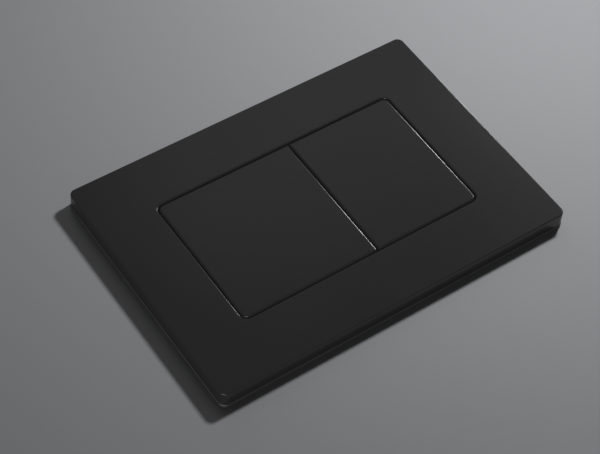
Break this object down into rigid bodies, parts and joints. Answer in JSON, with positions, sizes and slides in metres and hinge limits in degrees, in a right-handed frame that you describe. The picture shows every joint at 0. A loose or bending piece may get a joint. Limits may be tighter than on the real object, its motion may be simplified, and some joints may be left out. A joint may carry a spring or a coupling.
{
  "type": "flush button plate",
  "caption": "Flat rectangular flush plate for a concealed cistern: a moulded cover on a mounting frame, with a large and a small hinged, sprung button flush with its face.",
  "frame": {"origin": "centre of the back of the mounting frame, on the wall side", "axes": "+X along the long side towards the half flush button, +Y towards the edge that is uppermost on the wall, +Z out of the face"},
  "size_m": [0.2408, 0.1668, 0.012],
  "materials": {
    "black_abs": "fine matt moulded",
    "frame_plastic": "plain moulded",
    "steel_rod": "drawn bright",
    "spring_steel": "drawn wire",
    "buffer_rubber": "moulded matt",
    "white_acetal": "smooth moulded",
    "pad_foam": "closed-cell foam"
  },
  "bodies": {
    "plate": {"cover_plate": "black_abs", "mounting_frame": "frame_plastic", "full_hinge_rod": "steel_rod", "half_hinge_rod": "steel_rod", "rod_clips": "steel_rod", "full_spring_left": "spring_steel", "full_spring_right": "spring_steel", "half_spring_left": "spring_steel", "half_spring_right": "spring_steel", "full_buffer_left": "buffer_rubber", "full_buffer_right": "buffer_rubber", "half_buffer_left": "buffer_rubber", "half_buffer_right": "buffer_rubber", "wall_pad_back_left": "pad_foam", "wall_pad_back_right": "pad_foam", "wall_pad_front_left": "pad_foam", "wall_pad_front_right": "pad_foam"},
    "full_button": {"full_flush_button": "black_abs", "full_push_pad": "white_acetal"},
    "half_button": {"half_flush_button": "black_abs", "half_push_pad": "white_acetal"}
  },
  "joints": [
    {"name": "full_press", "type": "hinge", "parent": "plate", "child": "full_button", "pos_m": [-0.03639, 0.04185, 0.006], "axis": [1, 0, 0], "range_deg": [0, 2.6], "stiffness_Nm_per_rad": 9, "springref_deg": -1.15, "deforming": ["full_spring_left", "full_spring_right"]},
    {"name": "half_press", "type": "hinge", "parent": "plate", "child": "half_button", "pos_m": [0.04609, 0.04185, 0.006], "axis": [1, 0, 0], "range_deg": [0, 2.6], "stiffness_Nm_per_rad": 9, "springref_deg": -1.15, "deforming": ["half_spring_left", "half_spring_right"]}
  ]
}
